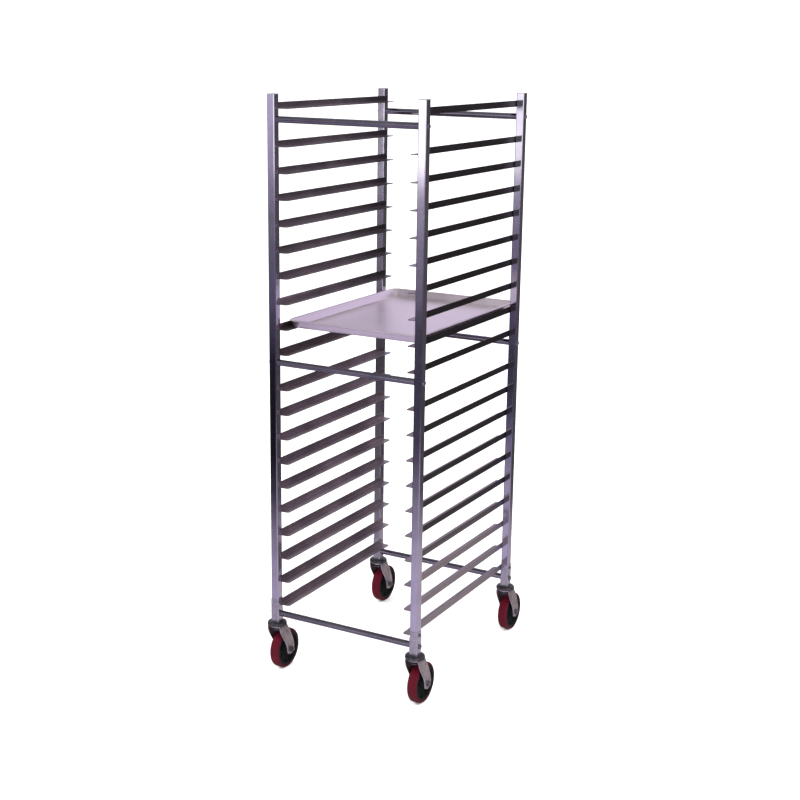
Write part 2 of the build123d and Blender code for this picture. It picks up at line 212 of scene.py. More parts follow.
def drawn_aluminium(name, along, dark, light, rough, grime=0.25):
    """Extruded or drawn metal: fine lines along one axis, soft clouds, and small rubbed patches."""
    g = Graph(name)
    line_scale = [LINES_ACROSS] * 3
    line_scale["XYZ".index(along)] = LINES_ALONG
    lines = g.noise(1.0, 4.0, 0.6, g.scaled(tuple(line_scale)))
    clouds = g.noise(9.0, 4.0, 0.6)
    rubs = g.noise(42.0, 5.0, 0.7)
    base = g.mix(g.ramp(clouds, [(0.35, 0.0), (0.68, 1.0)]), dark, light)
    grimy = tuple(c * GRIME_SHADE for c in dark)
    base = g.mix(g.ramp(lines, [(0.4, 0.0), (0.75, grime)]), base, grimy)
    spots = g.ramp(rubs, [(0.62, 0.0), (0.72, 1.0)])
    rubbed = tuple(min(1.0, c * RUB_SHINE) for c in light)
    base = g.mix(g.maths("MULTIPLY", spots, RUB_SHARE), base, rubbed)
    fine = g.ramp(lines, [(0.3, rough * 0.8), (0.7, rough * 1.35)])
    patchy = g.ramp(clouds, [(0.3, rough * 0.85), (0.7, rough * 1.3)])
    roughness = g.mix(0.5, fine, patchy)
    normal = g.bump(lines, 0.03, 0.0002)
    return g.finish(base, roughness, normal, metallic=1.0)


def plated_steel(name, dark, light, rough):
    """Zinc plating: mottled crystals, darker patches of grease and a fine grain."""
    g = Graph(name)
    mottle = g.noise(120.0, 4.0, 0.65)
    grease = g.noise(28.0, 5.0, 0.6)
    grain = g.noise(1400.0, 2.0, 0.5)
    base = g.mix(g.ramp(mottle, [(0.38, 0.0), (0.64, 1.0)]), dark, light)
    greasy = tuple(c * GREASE_SHADE for c in dark)
    base = g.mix(g.ramp(grease, [(0.52, 0.0), (0.75, 0.7)]), base, greasy)
    slick = (rough,) * 3
    dull = (rough * GREASE_ROUGHNESS,) * 3
    roughness = g.mix(g.ramp(grease, [(0.4, 0.0), (0.7, 1.0)]), slick, dull)
    normal = g.bump(mottle, 0.15, 0.0003, g.bump(grain, 0.1, 0.0001))
    return g.finish(base, roughness, normal, metallic=1.0)


def moulded_plastic(name, dark, light, rough, specular=0.5):
    """Moulded plastic: fine texture, dust and a few pale scuffs."""
    g = Graph(name)
    texture = g.noise(1600.0, 2.0, 0.5)
    dust = g.noise(35.0, 5.0, 0.65)
    scuff = g.noise(1.0, 5.0, 0.7, g.scaled((260.0, 60.0, 140.0)))
    base = g.mix(g.ramp(dust, [(0.45, 0.0), (0.8, 0.8)]), dark, light)
    scuffed = tuple(min(1.0, c * SCUFF_GAIN + SCUFF_LIFT) for c in light)
    base = g.mix(g.ramp(scuff, [(0.66, 0.0), (0.74, 0.5)]), base, scuffed)
    roughness = g.ramp(dust, [(0.35, rough), (0.75, min(1.0, rough * DUST_ROUGHNESS))])
    normal = g.bump(texture, 0.25, 0.0002)
    return g.finish(base, roughness, normal, specular=specular)


OUTER_WEB = 0.2312  # between the two faces of a ledge's web, from the middle plane of the rack
# Painted shade: the outer webs are painted near black for their dark reflection.
WEB_SHADE_SHARE = 0.92
WEB_PAINTED_SHADE = (0.045, 0.042, 0.044)
# Painted light: the outer webs of the lowest right ledges are painted pale, for light from the
# floor.
WEB_PAINTED_LIGHT = (0.40, 0.355, 0.38)
PAINTED_LIGHT_HEIGHTS = (0.40, 0.50)  # metres over which the pale webs give way to dark ones
# Darker towards the top and the rear.
TOP_REAR_DARKENING = (0.045, 0.038, 0.042)
DARKENING_HEIGHTS = (0.98, 1.0)
DARKENING_DEPTHS = (0.0, 0.26)  # metres behind the middle over which the darkening grows
DARKENING_SHARES = (0.25, 0.9)


def ledge_finish():
    """Dull aluminium, darker towards the top and the rear. The outer webs carry painted shade,
    painted near black as a dark reflection; on the lowest right ledges they are painted pale
    instead, as painted light from the floor."""
    g = Graph("ledge aluminium")
    streaks = g.noise(1.0, 4.0, 0.6, g.scaled((700.0, 8.0, 260.0)))
    clouds = g.noise(7.0, 4.0, 0.6)
    dark, light, streak = (0.25, 0.208, 0.222), (0.42, 0.352, 0.375), (0.10, 0.09, 0.095)
    base = g.mix(g.ramp(clouds, [(0.35, 0.0), (0.68, 1.0)]), dark, light)
    base = g.mix(g.ramp(streaks, [(0.45, 0.0), (0.75, 0.5)]), base, streak)
    place = g.tree.nodes.new("ShaderNodeSeparateXYZ")
    g.link(g.where, place.inputs[0])
    sideways = g.maths("ABSOLUTE", place.outputs["X"])
    outer = g.maths("GREATER_THAN", sideways, OUTER_WEB)
    # Painted shade: the outer webs are painted near black.
    base = g.mix(g.maths("MULTIPLY", outer, WEB_SHADE_SHARE), base, WEB_PAINTED_SHADE)
    # Painted light: the outer webs of the lowest right ledges are painted pale.
    right = g.maths("GREATER_THAN", place.outputs["X"], OUTER_WEB)
    low = g.ramp(place.outputs["Z"], list(zip(PAINTED_LIGHT_HEIGHTS, (1.0, 0.0))))
    base = g.mix(g.maths("MULTIPLY", right, low), base, WEB_PAINTED_LIGHT)
    # Darker towards the top and the rear.
    high = g.ramp(place.outputs["Z"], list(zip(DARKENING_HEIGHTS, (0.0, 1.0))))
    far = g.ramp(place.outputs["Y"], list(zip(DARKENING_DEPTHS, DARKENING_SHARES)))
    base = g.mix(g.maths("MULTIPLY", high, far), base, TOP_REAR_DARKENING)
    roughness = g.ramp(g.mix(0.5, streaks, clouds), [(0.3, 0.26), (0.7, 0.40)])
    return g.finish(base, roughness, g.bump(streaks, 0.1, 0.0002), metallic=1.0)


# Each sort has its dark and light tone and its roughness. Aluminium also has the axis it was
# drawn along, and plastic its specular level.
MATERIALS = {
    "post_aluminium": drawn_aluminium(
        "post aluminium", "Z", (0.49, 0.46, 0.55), (0.62, 0.59, 0.69), 0.085),
    "ledge_aluminium": ledge_finish(),
    "brace_aluminium": drawn_aluminium(
        "brace aluminium", "X", (0.165, 0.15, 0.20), (0.25, 0.23, 0.29), 0.15),
    "pan_aluminium": drawn_aluminium(
        "pan aluminium", "Y", (0.87, 0.775, 0.84), (0.93, 0.84, 0.90), 0.34, grime=0.08),
    "foot_steel": plated_steel("foot steel", (0.50, 0.48, 0.52), (0.64, 0.61, 0.66), 0.22),
    "race_steel": plated_steel("race steel", (0.07, 0.068, 0.075), (0.14, 0.135, 0.145), 0.36),
    "fork_steel": plated_steel("fork steel", (0.38, 0.34, 0.35), (0.54, 0.49, 0.49), 0.34),
    "fastener_steel": plated_steel("fastener steel", (0.16, 0.15, 0.18), (0.28, 0.27, 0.30), 0.30),
    "bearing_steel": plated_steel("bearing steel", (0.55, 0.55, 0.57), (0.70, 0.70, 0.72), 0.18),
    "cap_plastic": moulded_plastic("cap plastic", (0.16, 0.15, 0.17), (0.24, 0.23, 0.26), 0.42),
    "core_plastic": moulded_plastic(
        "core plastic", (0.004, 0.005, 0.005), (0.009, 0.010, 0.011), 0.5, specular=0.2),
    "tread_polyurethane": moulded_plastic(
        "tread polyurethane", (0.052, 0.0008, 0.006), (0.090, 0.002, 0.012), 0.5, specular=0.12),
}


def paint_frame():
    """Gives every CAD node the material of its slot."""
    for part in frame["record"]["subparts"]:
        node = frame["nodes"][part["node"]]
        node.data.materials.clear()
        node.data.materials.append(MATERIALS[part["material_slot"]])


# ---- mesh helpers --------------------------------------------------------------------------
SHARP = math.radians(38)  # edges sharper than this keep a crease in the shading
MERGE = 1e-6  # points closer than this become one


def add_object(name, mesh, material_slot):
    piece = bpy.data.objects.new(name, mesh)
    bpy.context.scene.collection.objects.link(piece)
    mesh.materials.append(MATERIALS[material_slot])
    return piece


def to_mesh(name, bm):
    """Merges doubles, turns the faces outward, smooths all but the sharp edges and closes bm."""
    bmesh.ops.remove_doubles(bm, verts=bm.verts, dist=MERGE)
    bmesh.ops.recalc_face_normals(bm, faces=bm.faces)
    for face in bm.faces:
        face.smooth = True
    for edge in bm.edges:
        edge.smooth = edge.calc_face_angle(0.0) < SHARP
    mesh = bpy.data.meshes.new(name)
    bm.to_mesh(mesh)
    bm.free()
    return mesh


def skin_rows(bm, rows, closed_rows=True, closed_columns=False):
    """Quads between neighbouring rows of points; rows and columns may each run round in a ring."""
    verts = [[bm.verts.new(point) for point in row] for row in rows]
    row_pairs = list(zip(verts, verts[1:]))
    if closed_columns:
        row_pairs.append((verts[-1], verts[0]))
    for lower, upper in row_pairs:
        count = len(lower)
        for i in range(count if closed_rows else count - 1):
            j = (i + 1) % count
            bm.faces.new((lower[i], lower[j], upper[j], upper[i]))
    return verts


def smooth_step(value, start, end):
    t = min(1.0, max(0.0, (value - start) / (end - start)))
    return t * t * (3 - 2 * t)


def bezier(p0, p1, p2, p3, t):
    """A point on a cubic curve in the (y, z) plane."""
    w = ((1 - t) ** 3, 3 * t * (1 - t) ** 2, 3 * t * t * (1 - t), t ** 3)
    return tuple(sum(k * p[i] for k, p in zip(w, (p0, p1, p2, p3))) for i in (0, 1))


# ---- casters -------------------------------------------------------------------------------
FORK_SHEET = 0.004
FORK_BEND = 0.007  # radius between the crown and a leg
FORK_LIP = 0.0013  # how far the edges of a leg flare out
LIP_POWER = 8  # the higher, the closer the flare keeps to the edge
LIP_WIDTHS = (0.012, 0.030)  # the flare grows between these widths of a leg
LIP_DROPS = (0.006, 0.03)  # and between these distances below the crown
FORK_BOSS = 0.017
BOSS_SWEEP = math.radians(86)  # how far below the axle the boss's first row is, round it
LEG_TOP_HALF = 0.019
CROWN_HALF = 0.024
CROWN_WIDE = 0.006  # the crown keeps its full depth this far each side of the kingpin
CROWN_NEAR = 1e-5
REAR_SWING = 0.008  # these six place the control points of the legs' two edges
REAR_DROP = 0.028
FRONT_TUCK = 0.006
FRONT_DROP = 0.034
FRONT_WAIST = 0.002
LEG_RISE = 0.032
LEG_SPACING = 1.7  # above 1 the rows crowd towards the crown
LEG_ROWS = 26
BOSS_ROWS = 10
CROWN_STEPS = 6  # on each side of the kingpin
FORK_COLUMNS = 14
FORK_EDGE = 0.0007
FORK_EDGE_ANGLE = math.radians(50)
KINGPIN_HOLE = 0.0084
KINGPIN_CUT = 0.03
AXLE_HOLE = 0.0052
AXLE_CUT = 0.1
CUTTER_SIDES = 48
RING = 96  # points round a wheel or a stem


def cut_cylinder(piece, name, centre, radius, length, axis):
    """Cuts a round hole in a piece, and returns the cutter to be removed later."""
    bm = bmesh.new()
    turn = Matrix.Rotation(math.pi / 2, 4, "Y") if axis == "X" else Matrix.Identity(4)
    bmesh.ops.create_cone(
        bm, cap_ends=True, segments=CUTTER_SIDES, radius1=radius, radius2=radius,
        depth=length, matrix=Matrix.Translation(centre) @ turn)
    mesh = bpy.data.meshes.new(name)
    bm.to_mesh(mesh)
    bm.free()
    cutter = bpy.data.objects.new(name, mesh)
    bpy.context.scene.collection.objects.link(cutter)
    cut = piece.modifiers.new(name, "BOOLEAN")
    cut.object = cutter
    cut.operation = "DIFFERENCE"
    cut.solver = "EXACT"
    return cutter


def sheet_faces_out(piece, top):
    """Whether the face in the middle of the crown looks up."""
    crown = [face for face in piece.data.polygons if abs(face.center[2] - top) < CROWN_NEAR]
    return crown[0].normal[2] > 0


def settle(piece):
    """Turns a piece's modifiers into real mesh, with sharp edges creased."""
    graph = bpy.context.evaluated_depsgraph_get()
    mesh = bpy.data.meshes.new_from_object(piece.evaluated_get(graph))
    piece.modifiers.clear()
    bm = bmesh.new()
    bm.from_mesh(mesh)
    name = piece.data.name
    slots = list(mesh.materials)
    piece.data = to_mesh(name, bm)
    for material in slots:
        piece.data.materials.append(material)


def make_fork(corner):
    """Pressed fork: one sheet bent over rounded shoulders, with flared and rounded leg edges."""
    low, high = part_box(f"fork_{corner}")
    wheel_low, wheel_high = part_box(f"wheel_tread_{corner}")
    stem_low, stem_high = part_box(f"caster_stem_{corner}")
    centre_x = (low[0] + high[0]) / 2
    kingpin_y = (stem_low[1] + stem_high[1]) / 2
    axle_y = (wheel_low[1] + wheel_high[1]) / 2
    axle_z = (wheel_low[2] + wheel_high[2]) / 2
    half = (high[0] - low[0]) / 2
    top = high[2]
    trail = axle_y - kingpin_y

    rear = ((LEG_TOP_HALF, top), (CROWN_HALF + REAR_SWING, top - REAR_DROP),
            (trail + FORK_BOSS, axle_z + LEG_RISE), (trail + FORK_BOSS, axle_z))
    front = ((-LEG_TOP_HALF, top), (FRONT_TUCK - CROWN_HALF, top - FRONT_DROP),
             (trail - FORK_BOSS - FRONT_WAIST, axle_z + LEG_RISE), (trail - FORK_BOSS, axle_z))

    edges = []  # from the foot of a leg up to the crown: ends of each row in (y, z)
    for i in range(BOSS_ROWS):
        angle = BOSS_SWEEP * (1 - i / BOSS_ROWS)
        drop = FORK_BOSS * math.sin(angle)
        reach = FORK_BOSS * math.cos(angle)
        edges.append(((trail - reach, axle_z - drop), (trail + reach, axle_z - drop)))
    for i in range(LEG_ROWS + 1):
        t = (1 - i / LEG_ROWS) ** LEG_SPACING
        edges.append((bezier(*front, t), bezier(*rear, t)))

    def leg_row(ends, side):
        full = smooth_step(ends[1][0] - ends[0][0], *LIP_WIDTHS)
        row = []
        for j in range(FORK_COLUMNS + 1):
            v = 0.5 - 0.5 * math.cos(math.pi * j / FORK_COLUMNS)
            y = ends[0][0] + (ends[1][0] - ends[0][0]) * v
            z = ends[0][1] + (ends[1][1] - ends[0][1]) * v
            into_bend = max(0.0, z - (top - FORK_BEND))
            x = half - FORK_BEND + math.sqrt(max(0.0, FORK_BEND ** 2 - into_bend ** 2))
            edge = (2 * abs(v - 0.5)) ** LIP_POWER
            flare = FORK_LIP * edge * smooth_step(top - z, *LIP_DROPS) * full
            row.append((centre_x + side * (x + flare), kingpin_y + y, z))
        return row

    def crown_row(x):
        narrowing = smooth_step(abs(x), CROWN_WIDE, half - FORK_BEND)
        reach = LEG_TOP_HALF + (CROWN_HALF - LEG_TOP_HALF) * (1 - narrowing)
        row = []
        for j in range(FORK_COLUMNS + 1):
            v = 0.5 - 0.5 * math.cos(math.pi * j / FORK_COLUMNS)
            row.append((centre_x + x, kingpin_y + reach * (2 * v - 1), top))
        return row

    shoulder = half - FORK_BEND
    rows = [leg_row(ends, -1) for ends in edges]
    rows += [crown_row(shoulder * (i / CROWN_STEPS - 1)) for i in range(1, 2 * CROWN_STEPS)]
    rows += [leg_row(ends, 1) for ends in reversed(edges)]
    bm = bmesh.new()
    skin_rows(bm, rows, closed_rows=False)
    name = f"pressed_fork_{corner}"
    piece = add_object(name, to_mesh(name, bm), "fork_steel")
    thick = piece.modifiers.new("sheet", "SOLIDIFY")
    thick.thickness = FORK_SHEET
    thick.offset = -1.0 if sheet_faces_out(piece, top) else 1.0
    crown = (centre_x, kingpin_y, top)
    axle = (centre_x, axle_y, axle_z)
    cutters = [
        cut_cylinder(piece, "kingpin_cut", crown, KINGPIN_HOLE, KINGPIN_CUT, "Z"),
        cut_cylinder(piece, "axle_cut", axle, AXLE_HOLE, AXLE_CUT, "X"),
    ]
    soften = piece.modifiers.new("edges", "BEVEL")
    soften.width = FORK_EDGE
    soften.segments = 2
    soften.limit_method = "ANGLE"
    soften.angle_limit = FORK_EDGE_ANGLE
    settle(piece)
    for cutter in cutters:
        bpy.data.objects.remove(cutter)
    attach(piece, f"fork_{corner}")
    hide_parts(f"fork_{corner}")


AXIS = 0.0005  # the end caps of a turned profile start this far from its axis
STEM_RADIUS = 0.0109
STEM_CHAMFER = 0.0015
RACE_REACH = 0.021  # the race is flat out to here, under the foot, and then dished
# The rounded edge of the race, as (distance in from its rim, drop from its flat top).
RACE_DISH = (
    (0.0055, 0.0004), (0.0028, 0.0015), (0.0010, 0.0032), (0.0002, 0.0052), (0.0, 0.0070),
)
SKIRT_WALL = 0.0016
SKIRT_CHAMFER = 0.0005
SKIRT_DROP = 0.0009  # the skirt stops this far above the crown
KINGPIN_RADIUS = 0.008
LOWER_RACE_RADIUS = 0.018
LOWER_TOP_CHAMFER = 0.0006
LOWER_UNDER_CHAMFER = 0.0009
RIVET_RADIUS = 0.006
RIVET_HEIGHT = 0.0025
RIVET_SHOULDER = (0.0004, 0.0014)  # (distance in from its side, drop from its base)
RIVET_FACE = 0.0016  # how far in from its side the flat end starts
BALL_SPACE = 0.0055
CROWN_DEPTH = 0.006


def make_stem(corner):
    """Turned stem with its dished top race, kingpin, lower race and riveted end."""
    low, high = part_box(f"caster_stem_{corner}")
    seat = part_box("post_feet")[0][2]
    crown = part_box(f"fork_{corner}")[1][2]
    centre = ((low[0] + high[0]) / 2, (low[1] + high[1]) / 2)
    race = (high[0] - low[0]) / 2
    skirt = crown + SKIRT_DROP
    race_under = crown + BALL_SPACE
    lower_top = crown - CROWN_DEPTH - BALL_SPACE
    lower_under = low[2] + RIVET_HEIGHT
    profile = [
        (AXIS, high[2]), (STEM_RADIUS - STEM_CHAMFER, high[2]),
        (STEM_RADIUS, high[2] - STEM_CHAMFER), (STEM_RADIUS, seat), (RACE_REACH, seat),
    ]
    profile += [(race - inset, seat - drop) for inset, drop in RACE_DISH]
    profile += [
        (race, skirt + SKIRT_CHAMFER), (race - SKIRT_CHAMFER, skirt),
        (race - SKIRT_WALL, skirt), (race - SKIRT_WALL, race_under),
        (KINGPIN_RADIUS, race_under), (KINGPIN_RADIUS, lower_top),
        (LOWER_RACE_RADIUS - LOWER_TOP_CHAMFER, lower_top),
        (LOWER_RACE_RADIUS, lower_top - LOWER_TOP_CHAMFER),
        (LOWER_RACE_RADIUS, lower_under + LOWER_UNDER_CHAMFER),
        (LOWER_RACE_RADIUS - LOWER_UNDER_CHAMFER, lower_under), (RIVET_RADIUS, lower_under),
        (RIVET_RADIUS - RIVET_SHOULDER[0], lower_under - RIVET_SHOULDER[1]),
        (RIVET_RADIUS - RIVET_FACE, low[2]), (AXIS, low[2]),
    ]
    rows = []
    for radius, z in profile:
        ring = []
        for i in range(RING):
            angle = 2 * math.pi * i / RING
            x = centre[0] + radius * math.cos(angle)
            y = centre[1] + radius * math.sin(angle)
            ring.append((x, y, z))
        rows.append(ring)
    bm = bmesh.new()
    verts = skin_rows(bm, rows)
    bm.faces.new(verts[0])
    bm.faces.new(verts[-1])
    name = f"turned_stem_{corner}"
    piece = add_object(name, to_mesh(name, bm), "race_steel")
    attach(piece, "rack")
    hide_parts(f"caster_stem_{corner}")


def wheel_ring(centre, x, radius):
    """A ring of points round a wheel's axle."""
    ring = []
    for i in range(RING):
        angle = 2 * math.pi * i / RING
        y = centre[1] + radius * math.cos(angle)
        z = centre[2] + radius * math.sin(angle)
        ring.append((centre[0] + x, y, z))
    return ring


def wheel_centre(corner):
    low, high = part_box(f"wheel_tread_{corner}")
    return tuple((low[i] + high[i]) / 2 for i in range(3))


# One half of the tread's crown, as (distance from its middle plane, depth below its top).
TREAD_CROWN = (
    (0.0, 0.0), (0.0004, 0.0003), (0.004, 0.00035), (0.0095, 0.0008), (0.0120, 0.0016),
    (0.0140, 0.0032), (0.0153, 0.0052),
)
TREAD_SHOULDER = 0.0072
TREAD_FOOT = 0.0010
TREAD_FOOT_CHAMFER = 0.0006
TREAD_SEAT_HALF = 0.008


def make_tread(corner):
    """Tread with rounded shoulders, flat sides, a low crown and a mould line."""
    low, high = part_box(f"wheel_tread_{corner}")
    centre = wheel_centre(corner)
    half = (high[0] - low[0]) / 2
    radius = (high[2] - low[2]) / 2
    core_low, core_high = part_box(f"wheel_core_{corner}")
    inner = (core_high[2] - core_low[2]) / 2
    side = [(x, radius - depth) for x, depth in TREAD_CROWN]
    side += [
        (half, radius - TREAD_SHOULDER), (half, inner + TREAD_FOOT),
        (half - TREAD_FOOT_CHAMFER, inner), (TREAD_SEAT_HALF, inner),
    ]
    profile = side + [(-x, r) for x, r in reversed(side[1:])]
    bm = bmesh.new()
    skin_rows(bm, [wheel_ring(centre, x, r) for x, r in profile], closed_columns=True)
    name = f"moulded_tread_{corner}"
    piece = add_object(name, to_mesh(name, bm), "tread_polyurethane")
    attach(piece, f"wheel_{corner}")
    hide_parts(f"wheel_tread_{corner}")


HUB_RADIUS = 0.0175
RIM_INNER = 0.0478
WEB_HALF = 0.0045
RIM_HALF = 0.0150
RIB_HALF = 0.0100
RIB_COUNT = 8
RIB_WIDTH = 0.0017
RIB_FILLET = 0.0012
HUB_FILLET = (-0.0006, 0.0016)  # where the hub's step starts and ends, from HUB_RADIUS
RIM_FILLET = (-0.0022, 0.0004)  # and the rim's, from RIM_INNER
CORE_BORE = 0.0081
CORE_CHAMFER = 0.0006
# Radii of the core's rings: round the bore, from HUB_RADIUS, on the web, and from RIM_INNER.
BORE_RING = 0.0008
HUB_FACE = 0.0125
HUB_RINGS = (-0.0012, -0.0004, 0.0003, 0.001, 0.0018)
WEB_RINGS = (0.023, 0.028, 0.033, 0.038, 0.043)
RIM_RINGS = (-0.0024, -0.0015, -0.0006, 0.0004)
RIM_FACE = 0.0510
OUTER_RING = 0.0007


def make_core(corner):
    """Moulded core: hub, thin web with radial ribs, and the rim under the tread."""
    low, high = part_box(f"wheel_core_{corner}")
    centre = wheel_centre(corner)
    outer = (high[2] - low[2]) / 2
    hub_half = (high[0] - low[0]) / 2
    columns = 2 * RING

    def half_thickness(radius, angle):
        hub = 1 - smooth_step(radius, *(HUB_RADIUS + step for step in HUB_FILLET))
        rim = smooth_step(radius, *(RIM_INNER + step for step in RIM_FILLET))
        spoke = (angle * RIB_COUNT / (2 * math.pi) + 0.5) % 1.0 - 0.5
        off = abs(spoke) * 2 * math.pi / RIB_COUNT * radius
        rib = 1 - smooth_step(off, RIB_WIDTH, RIB_WIDTH + RIB_FILLET)
        web = WEB_HALF + (RIB_HALF - WEB_HALF) * rib
        ledge = max(web, WEB_HALF + (RIM_HALF - WEB_HALF) * rim)
        return ledge + (hub_half - ledge) * hub

    stops = [CORE_BORE, CORE_BORE + BORE_RING, HUB_FACE]
    stops += [HUB_RADIUS + step for step in HUB_RINGS]
    stops += WEB_RINGS
    stops += [RIM_INNER + step for step in RIM_RINGS]
    stops += [RIM_FACE, outer - OUTER_RING, outer]

    def rings(side):
        result = []
        for radius in stops:
            ring = []
            for i in range(columns):
                angle = 2 * math.pi * i / columns
                x = half_thickness(radius, angle)
                if radius in (CORE_BORE, outer):
                    x -= CORE_CHAMFER
                y = centre[1] + radius * math.cos(angle)
                z = centre[2] + radius * math.sin(angle)
                ring.append((centre[0] + side * x, y, z))
            result.append(ring)
        return result

    bm = bmesh.new()
    skin_rows(bm, rings(1) + list(reversed(rings(-1))), closed_columns=True)
    name = f"ribbed_core_{corner}"
    piece = add_object(name, to_mesh(name, bm), "core_plastic")
    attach(piece, f"wheel_{corner}")
    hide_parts(f"wheel_core_{corner}")


# ---- sheet pan -----------------------------------------------------------------------------
PAN_GAUGE = 0.0012
PAN_SLOPE = math.tan(math.radians(22))
PAN_BEAD = 0.0025
PAN_WALL_REACH = 0.0145  # from the edge of the floor out to the edge of the rim
PAN_CORNER = 0.014
PAN_CORNER_LEAST = 0.004
PAN_FLOOR_INSET = 0.006  # the worn floor ends this far inside the bend to the walls
PAN_BEND = 0.004
PAN_BEND_START = 0.0055  # how far in from the floor's edge the bend starts
PAN_BEND_ANGLES = (15, 35, 55, 68)
PAN_WALL_TOP = 0.0028  # the straight wall ends this far below the rim
PAN_WALL_STEPS = 6
# The lip over the rim, as (distance out from the wall, distance below the rim).
PAN_LIP = ((0.0005, 0.0013), (0.0014, 0.0004), (0.0026, 0.0))
PAN_OUTER_TOP = 0.0052  # the outside of the wall, down from the rim and up from the seat
PAN_OUTER_FOOT = 0.0035
PAN_HEEL = ((0.0006, 0.0017), (-0.0008, 0.0006), (-0.0030, 0.0))
PAN_SAG = 0.0005  # how far the worn floor waves up and down
WAVE_FADE = (0.7, 0.97)  # the waves fade out over this share of the way to the walls
FLOOR_START = 0.02  # size of the innermost ring of the floor, as a share of the outermost
FLOOR_STEPS = 13
CORNER_STEPS = 10
SIDE_STEPS = 24


def rounded_outline(half_x, half_y, radius):
    """A rounded rectangle about the origin, always with the same number of points."""
    points = []
    turns = ((1, 1, 0), (-1, 1, 90), (-1, -1, 180), (1, -1, 270))
    for index, (sx, sy, start) in enumerate(turns):
        corner = (sx * (half_x - radius), sy * (half_y - radius))
        arc = []
        for i in range(CORNER_STEPS + 1):
            angle = math.radians(start + 90 * i / CORNER_STEPS)
            arc.append((corner[0] + radius * math.cos(angle), corner[1] + radius * math.sin(angle)))
        points += arc
        nx, ny, next_start = turns[(index + 1) % 4]
        angle = math.radians(next_start)
        last_x, last_y = arc[-1]
        next_x = nx * (half_x - radius) + radius * math.cos(angle)
        next_y = ny * (half_y - radius) + radius * math.sin(angle)
        for i in range(1, SIDE_STEPS):
            t = i / SIDE_STEPS
            points.append((last_x + (next_x - last_x) * t, last_y + (next_y - last_y) * t))
    return points


def make_pan():
    """Sheet pan: worn flat floor, flared walls and a rolled bead along the rim."""
    low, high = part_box("sheet_pan")
    centre = ((low[0] + high[0]) / 2, (low[1] + high[1]) / 2)
    seat, height = low[2], high[2] - low[2]
    floor_x = (high[0] - low[0]) / 2 - PAN_WALL_REACH
    floor_y = (high[1] - low[1]) / 2 - PAN_WALL_REACH
    bead = (PAN_WALL_REACH - PAN_BEAD, height - PAN_BEAD)

    def wave(x, y):
        # Two waves that cross, in radians.
        ripple = math.sin(9.0 * x + 4.0 * y) + math.sin(13.0 * y - 6.0 * x + 1.3)
        way_out = max(abs(x) / floor_x, abs(y) / floor_y)
        return PAN_SAG * ripple * (1 - smooth_step(way_out, *WAVE_FADE)) / 2

    def loop(out, z):
        radius = max(PAN_CORNER_LEAST, PAN_CORNER + out)
        flat = rounded_outline(floor_x + out, floor_y + out, radius)
        return [(centre[0] + x, centre[1] + y, seat + z) for x, y in flat]

    def floor_loop(part, z):
        inset = PAN_FLOOR_INSET
        flat = rounded_outline(floor_x - inset, floor_y - inset, PAN_CORNER - inset)
        row = []
        for x, y in flat:
            px, py = x * part, y * part
            row.append((centre[0] + px, centre[1] + py, seat + z + PAN_SAG + wave(px, py)))
        return row

    parts = [FLOOR_START + (1 - FLOOR_START) * i / FLOOR_STEPS for i in range(FLOOR_STEPS + 1)]
    inside = []
    for angle in PAN_BEND_ANGLES:
        turn = math.radians(angle)
        out = PAN_BEND * math.sin(turn) - PAN_BEND_START
        inside.append((out, PAN_GAUGE + PAN_BEND * (1 - math.cos(turn))))
    wall_foot = inside[-1]
    wall_top = height - PAN_WALL_TOP
    for i in range(1, PAN_WALL_STEPS + 1):
        z = wall_foot[1] + (wall_top - wall_foot[1]) * i / PAN_WALL_STEPS
        inside.append((wall_foot[0] + (z - wall_foot[1]) * PAN_SLOPE, z))
    lip = inside[-1]
    over = [(lip[0] + out, height - below) for out, below in PAN_LIP]
    for angle in range(90, -151, -20):
        turn = math.radians(angle)
        over.append((bead[0] + PAN_BEAD * math.cos(turn), bead[1] + PAN_BEAD * math.sin(turn)))
    outer_top = height - PAN_OUTER_TOP
    outside = []
    for i in range(PAN_WALL_STEPS + 1):
        z = outer_top - (outer_top - PAN_OUTER_FOOT) * i / PAN_WALL_STEPS
        outside.append((z * PAN_SLOPE, z))
    outside += PAN_HEEL

    rows = [floor_loop(part, PAN_GAUGE) for part in parts]
    rows += [loop(out, z) for out, z in inside + over + outside]
    for part in reversed(parts):
        rows.append([(x, y, z - PAN_GAUGE) for x, y, z in floor_loop(part, PAN_GAUGE)])
    bm = bmesh.new()
    verts = skin_rows(bm, rows)
    bm.faces.new(verts[0])
    bm.faces.new(verts[-1])
    piece = add_object("worn_sheet_pan", to_mesh("worn_sheet_pan", bm), "pan_aluminium")
    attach(piece, "pan")
    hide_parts("sheet_pan")


# ---- welds ---------------------------------------------------------------------------------
WELD_RADIUS = 0.0017
WELD_RINGS = 13
WELD_SIDES = 10
WELD_SEED = 7
WELD_FOOT = 0.0025  # a bead starts this far above the bottom of its web
WELD_HEAD = 0.0035  # and ends this far below the top
WELD_END_POWER = 8  # the higher, the blunter the ends of a bead
WELD_END_LEAST = 0.02
WELD_RIPPLE = 0.12  # shares of the radius
WELD_UNEVEN = 0.06
WELD_FLATNESS = 0.9
WELD_PROUD = 0.0007
WELD_GAP = 0.0002


